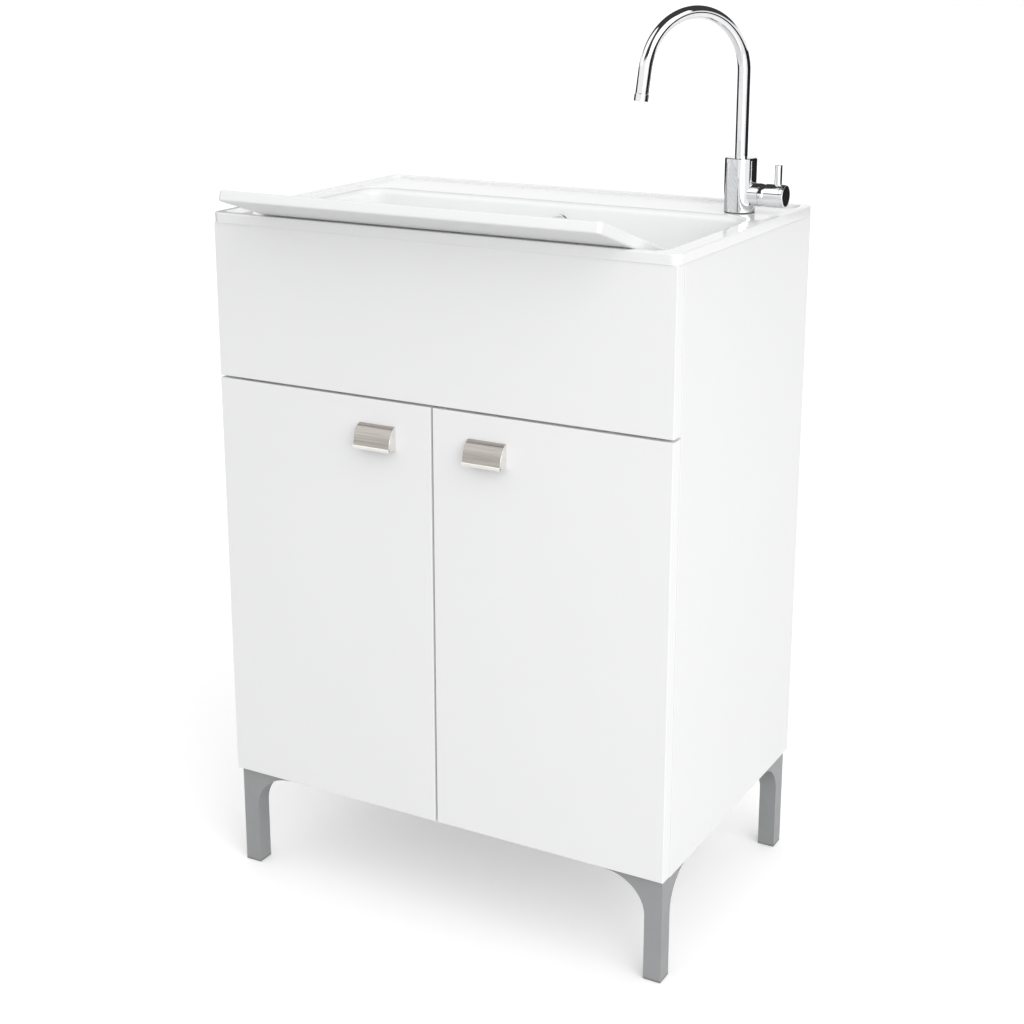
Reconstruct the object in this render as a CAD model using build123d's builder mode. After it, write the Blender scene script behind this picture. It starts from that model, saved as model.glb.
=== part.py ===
from build123d import *
from math import acos, cos, degrees, radians, sin, sqrt, tan
import os

os.makedirs("parts", exist_ok=True)

# All sizes in millimetres. X runs along the front, Y to the wall, Z up from the floor.

# Basin: outline, raised bead, bowl and deck
basin_width = 600
basin_depth = 400
rim_height = 850
rim_band = 12
rim_corner = 10
bead_width = 10
bead_height = 3.5
bead_round = 1.4
front_ledge = 15
side_ledge = 26
deck_depth = 110
bowl_depth = 180
bowl_wall = 5
floor_wall = 7
bowl_corner = 30
bowl_draft = 5
mouth_round = 9
floor_round = 16
step_depth = 17

# Washboard laid across the front bead, its lower end on the step in the bowl
board_width = 479
board_shift = 6.5
board_thickness = 13
board_slope = 18
board_play = 0.3
board_corner = 5
board_round = 2.5
lip_reach = 73
board_low_corner = 36
rib_first = 100
rib_last = 320
rib_pitch = 20
rib_radius = 6
rib_sink = 2.5
rib_length = 400
pocket_depth = 3
pocket_margin = 14
pocket_corner = 12

# Cabinet: board thickness, gaps and levels
overhang = 1.5
panel = 18
edge_round = 0.8
door_gap = 2
reveal = 3
door_lift = 1.5
fascia_height = 186
rail_depth = 60
back_rail_height = 90
wall_hole_spacing = 440
wall_hole_radius = 4
wall_hole_drop = 38

# Legs: square foot, two concave brackets and a dark glide
leg_height = 131
foot_size = 22
foot_side_inset = 3
foot_front_inset = 7
bracket_reach = 53
bracket_drop = 50
bracket_tip = 3
glide_height = 3
glide_spigot = 5
glide_spigot_length = 12

# Cup pulls on the doors
pull_width = 49
pull_height = 28
pull_proud = 15
pull_wall = 2
pull_lip = 5
pull_lip_thickness = 4
pull_centre = 73
pull_drop = 29
pull_screw_spacing = 30
pull_screw_drop = 9
pull_boss = 3.5
pull_boss_length = 9.5

# Concealed hinges, measured from each door's outer rear corner
hinge_level = 90
cup_radius = 17.5
cup_depth = 12
cup_wall = 1.1
cup_centre = 21.5
cup_plate = 1.2
cup_plate_half = 18
cup_plate_height = 58
cup_screw_spacing = 48
cup_screw_head = 3.2
cup_pivot_in = 10
cup_pivot_deep = 4
arm_pivot_in = 45
arm_pivot_back = 4.7
hinge_pin = 1.5
link_eye = 2.6
link_half = 5
link_thickness = 2
link_knee_in = 26
link_knee_deep = 3
link_bend_in = 34
link_bend_back = 4
arm_eye = 3.5
arm_half = 7.5
arm_length = 62
arm_straight = 8
plate_setback = 37
plate_size = 46
plate_thickness = 2
plate_corner = 4
plate_screw_spacing = 28

# Angle brackets behind the fascia and under the deck
angle_leg = 28
angle_width = 18
angle_thickness = 2
angle_inset = 40
deck_angle_x = 150
bumper_radius = 4
bumper_inset = 30

# Tap: post, arched spout and side lever
tap_side = 65
tap_rear = 75
tap_radius = 19
tap_height = 65
tap_gasket = 1
spout_radius = 7.5
spout_socket = 26
arch_radius = 70
arch_height = 164
arch_turn = 172
spout_end = 29
spout_heading = 59
aerator_radius = 8.2
aerator_length = 9
aerator_bore = 6
valve_level = 22
valve_radius = 13.6
valve_pivot = 26
cap_start = 34
cap_end = 58
cap_groove_place = 52.5
cap_groove_width = 1
cap_groove_depth = 0.6
cap_round = 1.5
stem_radius = 7
stem_length = 11
lever_place = 47.5
lever_radius = 4.3
lever_height = 23
lever_seat = 5
shank_radius = 16
shank_length = 57
locknut_height = 10
locknut_radius = 25
inlet_radius = 5
inlet_length = 18
inlet_spacing = 15

# Waste, overflow and trap under the bowl
overflow_drop = 27
overflow_shift = 14
overflow_radius = 10
overflow_ring_radius = 12.5
overflow_ring_height = 2.5
waste_flange_radius = 36
waste_recess = 3
waste_edge = 2
waste_dish = 0.8
waste_lead = 4
waste_lead_drop = 3
waste_tail = 22
waste_bore = 20.5
waste_tail_length = 58
gasket_height = 3
waste_body_radius = 27
waste_body_length = 72
waste_collar = 5
collar_height = 6
collar_slope = 2
funnel_height = 12
pipe_wall = 3
funnel_wall = 14
branch_level = 32
branch_reach = 46
branch_radius = 13
pipe_radius = 16
plug_depth = 9
plug_taper = 1.5
plug_straight = 3.5
plug_lip = 3
plug_lip_thickness = 1.6
plug_crown = 1
knob_radius = 7
knob_foot = 6
knob_foot_height = 1.5
knob_waist = 2.5
knob_waist_height = 7
knob_height = 13.5
nut_wall = 7
nut_height = 16
nut_grip = 1.6
nut_overlap = 4
trap_radius = 30
trap_height = 72
trap_shoulder = 10
trap_neck = 6
trap_cup_height = 62
trap_cup_lip = 3
trap_cup_round = 10
trap_cup_grip = 2.2
grip_count = 12
socket_wall = 4
socket_depth = 12
socket_reach = 16
outlet_drop = 27
outlet_wall = 2
outlet_back = 3
outlet_bore = 30
outlet_spigot = 14.5
overflow_stand = 34
overflow_bend = 22
elbow_length = 40
elbow_flange = 6
flange_height = 2.6
grid_bar = 3
spigot_length = 24

# Clearances
running = 0.05
seat = 0.3
loose = 0.5

# Small screws
screw_radius = 1.9
screw_length = 14
screw_head = 3.6
screw_head_height = 2
leg_screw_radius = 2.2
leg_screw_length = 15
leg_screw_head = 4
leg_screw_inset = 14
pull_screw_radius = 2
pull_screw_head = 4
pull_screw_grip = 6

# Levels and edges that follow from the sizes above
lean = radians(board_slope)
slant = tan(radians(bowl_draft))
edge_reach = board_round * (sin(lean) + cos(lean) - 1)
rim_front = (lip_reach - basin_depth) / 2
rim_back = rim_front + basin_depth
rim_middle = (rim_front + rim_back) / 2
rim_base = rim_height - rim_band
deck_top = rim_height - bead_height
floor_top = deck_top - bowl_depth
floor_base = floor_top - floor_wall
mouth_half = basin_width / 2 - bead_width - side_ledge
mouth_front = rim_front + bead_width + front_ledge
mouth_back = rim_back - deck_depth

body_half = basin_width / 2 - overhang
inner_half = body_half - panel
front_face = rim_front + overhang
door_back = front_face + panel
carcass_front = door_back + door_gap
carcass_back = rim_back - overhang
carcass_middle = (carcass_front + carcass_back) / 2
carcass_depth = carcass_back - carcass_front
fascia_bottom = rim_base - fascia_height
door_top = fascia_bottom - reveal
door_bottom = leg_height + door_lift
door_width = body_half - reveal / 2

# Washboard: the underside touches the rounded inner edge of the front bead
touch_y = rim_front + bead_width - bead_round
touch_z = rim_height - bead_round
board_offset = touch_y * sin(lean) + touch_z * cos(lean) + bead_round + board_play
board_front = rim_front - lip_reach - edge_reach
board_level = board_offset / cos(lean)
end_limit = mouth_back - slant * (deck_top - board_level - board_thickness * cos(lean))
board_end = (end_limit - board_thickness * sin(lean) - board_play) / (1 + slant * tan(lean))
board_length = (board_end - board_front) / cos(lean)
step_top = board_level - board_end * tan(lean) - board_play


def underside(y):
    return board_level - y * tan(lean)


def finish(builder, label):
    builder.part.label = label
    export_step(builder.part, f"parts/{label}.step")


def finish_pair(builder, label):
    # Left-hand piece as drawn, right-hand piece mirrored about the middle of the cabinet.
    finish(builder, f"{label}_left")
    with BuildPart() as mirrored:
        mirror(builder.part, about=Plane.YZ)
    finish(mirrored, f"{label}_right")


def facing(x, y, z, normal):
    # Placement whose own Z axis points along the given direction.
    return Plane(origin=(x, y, z), z_dir=normal).location


def screw(length, shank, head, head_height):
    # Pan-head screw: the head stands on the plane Z = 0, the shank points down.
    with BuildPart() as body:
        with BuildSketch():
            Circle(head)
        extrude(amount=head_height)
        chamfer(body.faces().sort_by(Axis.Z)[-1].edges(), head_height * 0.4)
        with BuildSketch():
            Circle(shank)
        extrude(amount=-length)
        chamfer(body.faces().sort_by(Axis.Z)[0].edges(), shank * 0.5)
    return body.part


def turned(x, y, points):
    # Solid of revolution about the upright line through x, y; points are radius and level.
    section = Plane(origin=(x, y, 0), x_dir=(1, 0, 0), z_dir=(0, -1, 0))
    with BuildPart() as body:
        with BuildSketch(section):
            with BuildLine():
                Polyline(*points, close=True)
            make_face()
        revolve(axis=Axis((x, y, 0), (0, 0, 1)))
    return body.part


# Basin
def bowl_outline(level, behind_step, wall):
    # Rounded outline of the bowl at a level, grown by a wall.
    shrink = (deck_top - level) * slant
    front = mouth_front + shrink - wall
    rear = mouth_back - shrink + wall - (step_depth if behind_step else 0)
    with BuildSketch(Plane.XY) as outline:
        with Locations((0, (front + rear) / 2)):
            RectangleRounded(2 * (mouth_half - shrink + wall), rear - front, bowl_corner - shrink + wall)
    return outline.sketch


waste_y = (mouth_front + mouth_back - step_depth) / 2
overflow_level = deck_top - overflow_drop
overflow_y = mouth_back - overflow_drop * slant
wall_lean = radians(bowl_draft)
overflow_plane = Plane(
    origin=(overflow_shift, overflow_y, overflow_level),
    x_dir=(1, 0, 0),
    z_dir=(0, -cos(wall_lean), sin(wall_lean)),
)
tap_x = basin_width / 2 - tap_side
tap_y = rim_back - tap_rear

with BuildPart() as basin:
    with BuildSketch(Plane.XY.offset(rim_base)):
        with Locations((0, rim_middle)):
            RectangleRounded(basin_width, basin_depth, rim_corner)
    extrude(amount=rim_band)
    with BuildSketch(Plane.XY.offset(rim_height)):
        with Locations((0, rim_middle)):
            RectangleRounded(basin_width - 2 * bead_width, basin_depth - 2 * bead_width, rim_corner)
    extrude(amount=-bead_height, mode=Mode.SUBTRACT)
    fillet(basin.faces().sort_by(Axis.Z)[-1].edges(), bead_round)
    # Outside of the bowl, above and below the step
    with BuildSketch(Plane.XY.offset(rim_base + bowl_wall)):
        add(bowl_outline(rim_base + bowl_wall, False, bowl_wall))
    with BuildSketch(Plane.XY.offset(step_top - bowl_wall)):
        add(bowl_outline(step_top - bowl_wall, False, bowl_wall))
    loft(ruled=True)
    with BuildSketch(Plane.XY.offset(step_top)):
        add(bowl_outline(step_top, True, bowl_wall))
    with BuildSketch(Plane.XY.offset(floor_base)):
        add(bowl_outline(floor_base, True, bowl_wall))
    loft(ruled=True)
    # Inside of the bowl
    with BuildSketch(Plane.XY.offset(deck_top)):
        add(bowl_outline(deck_top, False, 0))
    with BuildSketch(Plane.XY.offset(step_top)):
        add(bowl_outline(step_top, False, 0))
    loft(ruled=True, mode=Mode.SUBTRACT)
    with BuildSketch(Plane.XY.offset(step_top)):
        add(bowl_outline(step_top, True, 0))
    with BuildSketch(Plane.XY.offset(floor_top)):
        add(bowl_outline(floor_top, True, 0))
    loft(ruled=True, mode=Mode.SUBTRACT)
    level_faces = basin.faces().filter_by(Plane.XY)
    floor_face = level_faces.filter_by_position(Axis.Z, floor_top - seat, floor_top + seat)
    fillet(floor_face.edges(), floor_round)
    level_faces = basin.faces().filter_by(Plane.XY)
    deck_face = level_faces.filter_by_position(Axis.Z, deck_top - seat, deck_top + seat)
    fillet(deck_face[0].inner_wires()[0].edges(), mouth_round)
    # Tap hole, overflow hole, seat and hole of the waste
    with BuildSketch(Plane.XY.offset(deck_top)):
        with Locations((tap_x, tap_y)):
            Circle(shank_radius + 2 * loose)
    extrude(amount=-rim_band, mode=Mode.SUBTRACT)
    with BuildSketch(overflow_plane):
        Circle(overflow_radius + loose)
    extrude(amount=-2 * bowl_wall, mode=Mode.SUBTRACT)
    with BuildSketch(Plane.XY.offset(floor_top)):
        with Locations((0, waste_y)):
            Circle(waste_flange_radius + loose)
    extrude(amount=-waste_recess, mode=Mode.SUBTRACT)
    with BuildSketch(Plane.XY.offset(floor_top)):
        with Locations((0, waste_y)):
            Circle(waste_tail + loose)
    extrude(amount=-floor_wall, mode=Mode.SUBTRACT)
finish(basin, "basin")

# Washboard, with transverse ribs rising from a shallow pocket
board_plane = Plane(
    origin=(board_shift, board_front, underside(board_front)),
    x_dir=(1, 0, 0),
    z_dir=(0, sin(lean), cos(lean)),
)
rib_count = int((rib_last - rib_first) / rib_pitch) + 1
rib_span = (rib_count - 1) * rib_pitch
rib_plane = Plane(
    origin=(board_shift - rib_length / 2, board_front, underside(board_front)),
    x_dir=(0, cos(lean), -sin(lean)),
    z_dir=(1, 0, 0),
)
rib_axis = board_thickness - pocket_depth - rib_sink

with BuildPart() as washboard:
    with BuildSketch(board_plane) as board_outline:
        with Locations((0, board_length / 2)):
            Rectangle(board_width, board_length)
        fillet(board_outline.vertices().group_by(Axis.Y)[0], board_corner)
        fillet(board_outline.vertices().group_by(Axis.Y)[-1], board_low_corner)
    extrude(amount=board_thickness)
    broad_faces = washboard.faces().sort_by(SortBy.AREA)[-2:]
    fillet(broad_faces.edges(), board_round)
    with BuildSketch(board_plane.offset(board_thickness)):
        with Locations((0, rib_first + rib_span / 2)):
            RectangleRounded(
                rib_length + 2 * pocket_margin, rib_span + 2 * pocket_margin, pocket_corner
            )
    extrude(amount=-pocket_depth, mode=Mode.SUBTRACT)
    with BuildSketch(rib_plane):
        with Locations(*[(rib_first + i * rib_pitch, rib_axis) for i in range(rib_count)]):
            Circle(rib_radius)
    extrude(amount=rib_length)
finish(washboard, "washboard")

# Places of the screws that fasten the legs, hinge plates and angle brackets
leg_x = -body_half + foot_side_inset
leg_front = front_face + foot_front_inset
leg_back = carcass_back - foot_front_inset
leg_middle = (leg_front + leg_back) / 2
foot_x = leg_x + foot_size / 2
foot_y = leg_front + foot_size / 2
plate_reach = foot_size + bracket_reach
bracket_hole = foot_size + bracket_reach - leg_screw_inset
plate_hole = foot_size + leg_screw_head + seat
leg_screw_places = [
    (leg_x + bracket_hole, leg_front + plate_hole),
    (leg_x + plate_hole, leg_front + bracket_hole),
]
leg_screw_spots = [
    (x_sign * x, leg_middle + y_sign * (y - leg_middle))
    for x, y in leg_screw_places
    for x_sign in (1, -1)
    for y_sign in (1, -1)
]
hinge_levels = (door_bottom + hinge_level, door_top - hinge_level)
plate_y = carcass_front + plate_setback
plate_screws = [
    (plate_y, level + side * plate_screw_spacing / 2) for level in hinge_levels for side in (-1, 1)
]
angle_hole = angle_leg / 2 + angle_thickness
fascia_levels = (fascia_bottom + angle_inset, rim_base - angle_inset)
fascia_screws = [(door_back + angle_hole, level) for level in fascia_levels]

# Side panels
for side, sign in (("left", -1), ("right", 1)):
    inner_plane = Plane(origin=(sign * inner_half, 0, 0), x_dir=(0, 1, 0), z_dir=(1, 0, 0))
    with BuildPart() as side_panel:
        with BuildSketch(inner_plane):
            with Locations((carcass_middle, (leg_height + rim_base) / 2)):
                Rectangle(carcass_depth, rim_base - leg_height)
        extrude(amount=sign * panel)
        outer_face = side_panel.faces().sort_by(Axis.X)[-1 if sign > 0 else 0]
        fillet(outer_face.edges().filter_by(Axis.Z), edge_round)
        with BuildSketch(inner_plane):
            with Locations(*plate_screws, *fascia_screws):
                Circle(screw_radius + running)
        extrude(amount=sign * screw_length, mode=Mode.SUBTRACT)
    finish(side_panel, f"side_panel_{side}")

# Bottom panel and rails
with BuildPart() as bottom_panel:
    with BuildSketch(Plane.XY.offset(leg_height)):
        with Locations((0, carcass_middle)):
            Rectangle(2 * inner_half, carcass_depth)
    extrude(amount=panel)
    with BuildSketch(Plane.XY.offset(leg_height)):
        with Locations(*leg_screw_spots):
            Circle(leg_screw_radius + running)
    extrude(amount=leg_screw_length, mode=Mode.SUBTRACT)
finish(bottom_panel, "bottom_panel")

with BuildPart() as front_rail:
    with BuildSketch(Plane.XY.offset(door_top - panel)):
        with Locations((0, carcass_front + rail_depth / 2)):
            Rectangle(2 * inner_half, rail_depth)
    extrude(amount=panel)
finish(front_rail, "front_rail")

rail_plane = Plane(origin=(0, carcass_back - panel, 0), x_dir=(1, 0, 0), z_dir=(0, -1, 0))
with BuildPart() as back_rail_top:
    with BuildSketch(rail_plane):
        with Locations((0, rim_base - back_rail_height / 2)):
            Rectangle(2 * inner_half, back_rail_height)
        with Locations((0, rim_base - wall_hole_drop)):
            with GridLocations(wall_hole_spacing, 0, 2, 1):
                Circle(wall_hole_radius, mode=Mode.SUBTRACT)
    extrude(amount=-panel)
    with BuildSketch(rail_plane):
        with Locations((-deck_angle_x, rim_base - angle_hole), (deck_angle_x, rim_base - angle_hole)):
            Circle(screw_radius + running)
    extrude(amount=-screw_length, mode=Mode.SUBTRACT)
finish(back_rail_top, "back_rail_top")

with BuildPart() as back_rail_bottom:
    with BuildSketch(rail_plane):
        with Locations((0, leg_height + panel + back_rail_height / 2)):
            Rectangle(2 * inner_half, back_rail_height)
    extrude(amount=-panel)
finish(back_rail_bottom, "back_rail_bottom")

# Fascia in front of the bowl
door_plane = Plane(origin=(0, door_back, 0), x_dir=(1, 0, 0), z_dir=(0, -1, 0))
with BuildPart() as fascia_panel:
    with BuildSketch(door_plane):
        with Locations((0, (fascia_bottom + rim_base) / 2)):
            Rectangle(2 * body_half, fascia_height)
    extrude(amount=panel)
    fillet(fascia_panel.faces().sort_by(Axis.Y)[0].edges(), edge_round)
    with BuildSketch(door_plane):
        for level in fascia_levels:
            with Locations((angle_hole - inner_half, level), (inner_half - angle_hole, level)):
                Circle(screw_radius + running)
    extrude(amount=screw_length, mode=Mode.SUBTRACT)
finish(fascia_panel, "fascia_panel")


# Legs with concave brackets, and the dark glides under them
def bracket_outline(start):
    # Foot and bracket seen from the side, drawn inwards from the foot's outer face.
    foot_end = start + foot_size
    tip = foot_end + bracket_reach
    with BuildSketch() as outline:
        with BuildLine():
            Polyline(
                (foot_end, leg_height - bracket_drop),
                (foot_end, glide_height),
                (start, glide_height),
                (start, leg_height),
                (tip, leg_height),
                (tip, leg_height - bracket_tip),
            )
            EllipticalCenterArc(
                (tip, leg_height - bracket_drop),
                bracket_reach,
                bracket_drop - bracket_tip,
                start_angle=90,
                arc_size=90,
            )
        make_face()
    return outline.sketch


with BuildPart() as leg_blank:
    with BuildSketch(Plane.XZ.offset(-leg_front)):
        add(bracket_outline(leg_x))
    extrude(amount=-foot_size)
    with BuildSketch(Plane.YZ.offset(leg_x)):
        add(bracket_outline(leg_front))
    extrude(amount=foot_size)
    with BuildSketch(Plane.XY.offset(leg_height)):
        with BuildLine():
            Polyline(
                (leg_x, leg_front),
                (leg_x + plate_reach, leg_front),
                (leg_x + plate_reach, leg_front + foot_size),
                (leg_x + foot_size, leg_front + plate_reach),
                (leg_x, leg_front + plate_reach),
                close=True,
            )
        make_face()
        with Locations(*leg_screw_places):
            Circle(leg_screw_radius + running, mode=Mode.SUBTRACT)
    extrude(amount=-bracket_tip)
    with BuildSketch(Plane.XY.offset(glide_height)):
        with Locations((foot_x, foot_y)):
            Circle(glide_spigot + running)
    extrude(amount=glide_spigot_length + loose, mode=Mode.SUBTRACT)

with BuildPart() as glide_blank:
    with BuildSketch(Plane.XY):
        with Locations((foot_x, foot_y)):
            Rectangle(foot_size, foot_size)
    extrude(amount=glide_height)
    chamfer(glide_blank.faces().sort_by(Axis.Z)[0].edges(), edge_round)
    with BuildSketch(Plane.XY.offset(glide_height)):
        with Locations((foot_x, foot_y)):
            Circle(glide_spigot)
    extrude(amount=glide_spigot_length)

middle_plane = Plane(origin=(0, leg_middle, 0), x_dir=(1, 0, 0), z_dir=(0, 1, 0))
for blank, label in ((leg_blank, "leg"), (glide_blank, "foot_glide")):
    with BuildPart() as rear_blank:
        mirror(blank.part, about=middle_plane)
    finish_pair(blank, f"{label}_front")
    finish_pair(rear_blank, f"{label}_rear")

with BuildPart() as leg_screws:
    with Locations(*[facing(x, y, leg_height - bracket_tip, (0, 0, -1)) for x, y in leg_screw_spots]):
        add(screw(leg_screw_length, leg_screw_radius, leg_screw_head, screw_head_height))
finish(leg_screws, "leg_screws")

# Angle brackets that carry the fascia and tie the deck to the rear rail
with BuildPart() as angle_bracket:
    with BuildSketch(Plane.XY.offset(-angle_width / 2)):
        with BuildLine():
            Polyline(
                (0, 0),
                (angle_leg, 0),
                (angle_leg, angle_thickness),
                (angle_thickness, angle_thickness),
                (angle_thickness, angle_leg),
                (0, angle_leg),
                close=True,
            )
        make_face()
    extrude(amount=angle_width)
    with BuildSketch(Plane.XZ, Plane.YZ):
        with Locations((angle_hole, 0)):
            Circle(screw_radius + seat)
    extrude(amount=angle_leg, both=True, mode=Mode.SUBTRACT)

up = (0, 0, 1)
with BuildPart() as fascia_brackets:
    for level in fascia_levels:
        with Locations(
            Plane(origin=(-inner_half, door_back, level), x_dir=(1, 0, 0), z_dir=up).location,
            Plane(origin=(inner_half, door_back, level), x_dir=(0, 1, 0), z_dir=up).location,
        ):
            add(angle_bracket.part)
finish(fascia_brackets, "fascia_brackets")

with BuildPart() as deck_brackets:
    with Locations(
        *[
            Plane((x, carcass_back - panel, rim_base), x_dir=(0, -1, 0), z_dir=(1, 0, 0)).location
            for x in (-deck_angle_x, deck_angle_x)
        ]
    ):
        add(angle_bracket.part)
finish(deck_brackets, "deck_brackets")

fascia_screw_x = inner_half - angle_hole
small_screw_places = [
    facing(x, carcass_back - panel - angle_thickness, rim_base - angle_hole, (0, -1, 0))
    for x in (-deck_angle_x, deck_angle_x)
]
for level in fascia_levels:
    for sign in (-1, 1):
        wall_x = sign * (inner_half - angle_thickness)
        to_panel = facing(wall_x, door_back + angle_hole, level, (-sign, 0, 0))
        to_fascia = facing(sign * fascia_screw_x, door_back + angle_thickness, level, (0, 1, 0))
        small_screw_places += [to_panel, to_fascia]
for y, z in plate_screws:
    for sign in (-1, 1):
        small_screw_places.append(facing(sign * (inner_half - plate_thickness), y, z, (-sign, 0, 0)))
with BuildPart() as small_screws:
    with Locations(*small_screw_places):
        add(screw(screw_length, screw_radius, screw_head, screw_head_height))
finish(small_screws, "small_screws")

# Buffers that the closed doors lie on
with BuildPart() as door_buffers:
    with BuildSketch(Plane(origin=(0, carcass_front, 0), x_dir=(1, 0, 0), z_dir=(0, -1, 0))):
        for level in (leg_height + panel / 2, door_top - panel / 2):
            with Locations((-bumper_inset, level), (bumper_inset, level)):
                Circle(bumper_radius)
    extrude(amount=door_gap - seat)
finish(door_buffers, "door_buffers")

# Concealed hinges, left-hand side; places are counted from the door's outer rear corner
corner_x = -body_half
corner_y = door_back
cup_x = corner_x + cup_centre
pivot_x = corner_x + cup_pivot_in
pivot_y = corner_y - cup_pivot_deep
arm_x = corner_x + arm_pivot_in
arm_y = corner_y + arm_pivot_back
cup_inner = cup_radius - cup_wall
cup_pin_half = sqrt(cup_radius**2 - (cup_x - pivot_x + hinge_pin) ** 2)
cup_screws = [
    (cup_x, level + side * cup_screw_spacing / 2) for level in hinge_levels for side in (-1, 1)
]

with BuildPart() as hinge_cups:
    with BuildSketch(door_plane):
        with Locations(*[(cup_x, level) for level in hinge_levels]):
            Rectangle(2 * cup_plate_half, cup_plate_height)
        with Locations(*cup_screws):
            Circle(screw_radius + seat, mode=Mode.SUBTRACT)
    extrude(amount=-cup_plate)
    with BuildSketch(door_plane):
        with Locations(*[(cup_x, level) for level in hinge_levels]):
            Circle(cup_radius)
    extrude(amount=cup_depth)
    with BuildSketch(door_plane.offset(cup_depth - cup_wall)):
        with Locations(*[(cup_x, level) for level in hinge_levels]):
            Circle(cup_inner)
    extrude(amount=-cup_depth - cup_plate, mode=Mode.SUBTRACT)
    for level in hinge_levels:
        with BuildSketch(Plane.XY.offset(level)):
            with Locations((pivot_x, pivot_y)):
                Circle(hinge_pin)
        extrude(amount=cup_pin_half, both=True)
finish_pair(hinge_cups, "hinge_cups")

with BuildPart() as hinge_links:
    for level in hinge_levels:
        with BuildSketch(Plane.XY.offset(level)):
            with BuildLine() as spine:
                Polyline(
                    (pivot_x, pivot_y),
                    (corner_x + link_knee_in, corner_y - link_knee_deep),
                    (corner_x + link_bend_in, corner_y + link_bend_back),
                    (arm_x, arm_y),
                )
            trace(spine.line, line_width=link_thickness)
            with Locations((pivot_x, pivot_y), (arm_x, arm_y)):
                Circle(link_eye)
                Circle(hinge_pin + running, mode=Mode.SUBTRACT)
        extrude(amount=link_half, both=True)
finish_pair(hinge_links, "hinge_links")

slot_depth = link_eye + loose
arm_rear_x = -inner_half + plate_thickness + arm_eye
with BuildPart() as hinge_arms:
    for level in hinge_levels:
        with BuildSketch(Plane.XY.offset(level)):
            with BuildLine() as beam:
                Polyline(
                    (arm_x, arm_y),
                    (arm_x, arm_y + arm_straight),
                    (arm_rear_x, arm_y + arm_straight + arm_x - arm_rear_x),
                    (arm_rear_x, corner_y + arm_length),
                )
            trace(beam.line, line_width=2 * arm_eye)
            with Locations((arm_x, arm_y)):
                Circle(arm_eye)
        extrude(amount=arm_half, both=True)
        with BuildSketch(Plane.XY.offset(level)):
            with Locations((arm_x, arm_y)):
                Rectangle(4 * arm_eye, 2 * slot_depth)
        extrude(amount=link_half + seat, both=True, mode=Mode.SUBTRACT)
        with BuildSketch(Plane.XY.offset(level)):
            with Locations((arm_x, arm_y)):
                Circle(hinge_pin)
        extrude(amount=arm_half, both=True)
finish_pair(hinge_arms, "hinge_arms")

with BuildPart() as hinge_plates:
    for sign in (-1, 1):
        with BuildSketch(Plane(origin=(sign * inner_half, 0, 0), x_dir=(0, 1, 0), z_dir=(1, 0, 0))):
            with Locations(*[(plate_y, level) for level in hinge_levels]):
                RectangleRounded(plate_size, plate_size, plate_corner)
            with Locations(*plate_screws):
                Circle(screw_radius + seat, mode=Mode.SUBTRACT)
        extrude(amount=-sign * plate_thickness)
finish(hinge_plates, "hinge_plates")

with BuildPart() as cup_screw_set:
    with Locations(*[facing(x, door_back + cup_plate, z, (0, 1, 0)) for x, z in cup_screws]):
        add(screw(screw_length, screw_radius, cup_screw_head, cup_plate))
finish_pair(cup_screw_set, "hinge_cup_screws")

# Doors
pull_top = door_top - pull_drop
pull_bottom = pull_top - pull_height
pull_screws = [
    (-pull_centre + side * pull_screw_spacing / 2, pull_top - pull_screw_drop) for side in (-1, 1)
]
with BuildPart() as door:
    with BuildSketch(door_plane):
        with Locations((-(body_half + reveal / 2) / 2, (door_bottom + door_top) / 2)):
            Rectangle(door_width, door_top - door_bottom)
    extrude(amount=panel)
    fillet(door.faces().sort_by(Axis.Y)[0].edges(), edge_round)
    with BuildSketch(door_plane):
        with Locations(*[(cup_x, level) for level in hinge_levels]):
            Circle(cup_radius + running)
    extrude(amount=cup_depth + seat, mode=Mode.SUBTRACT)
    with BuildSketch(door_plane):
        with Locations(*cup_screws):
            Circle(screw_radius + running)
    extrude(amount=screw_length, mode=Mode.SUBTRACT)
    with BuildSketch(door_plane):
        with Locations(*pull_screws):
            Circle(pull_screw_radius + seat)
    extrude(amount=panel, mode=Mode.SUBTRACT)
finish_pair(door, "door")


# Cup pulls, a quarter-round shell open below and behind
def shell_outline(inset):
    # Quarter ellipse between the door's face and the lip, seen from the end.
    with BuildSketch() as outline:
        with BuildLine():
            EllipticalCenterArc(
                (front_face, pull_bottom),
                pull_proud - inset,
                pull_height - inset,
                start_angle=90,
                arc_size=90,
            )
            Polyline(
                (front_face - pull_proud + inset, pull_bottom),
                (front_face, pull_bottom),
                (front_face, pull_top - inset),
            )
        make_face()
    return outline.sketch


pull_end = -pull_centre - pull_width / 2
with BuildPart() as pull:
    with BuildSketch(Plane.YZ.offset(pull_end)):
        add(shell_outline(0))
    extrude(amount=pull_width)
    with BuildSketch(Plane.YZ.offset(pull_end + pull_wall)):
        add(shell_outline(pull_wall))
    extrude(amount=pull_width - 2 * pull_wall, mode=Mode.SUBTRACT)
    with BuildSketch(Plane.YZ.offset(pull_end)):
        with Locations((front_face - pull_proud, pull_bottom + pull_lip / 2)):
            RectangleRounded(pull_lip_thickness, pull_lip, pull_lip_thickness * 0.45)
    extrude(amount=pull_width)
    with BuildSketch(Plane(origin=(0, front_face, 0), x_dir=(1, 0, 0), z_dir=(0, -1, 0))):
        with Locations(*pull_screws):
            Circle(pull_boss)
    extrude(amount=pull_boss_length)
    with BuildSketch(Plane(origin=(0, front_face, 0), x_dir=(1, 0, 0), z_dir=(0, -1, 0))):
        with Locations(*pull_screws):
            Circle(pull_screw_radius + running)
    extrude(amount=pull_screw_grip + loose, mode=Mode.SUBTRACT)
finish_pair(pull, "cup_pull")

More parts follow.
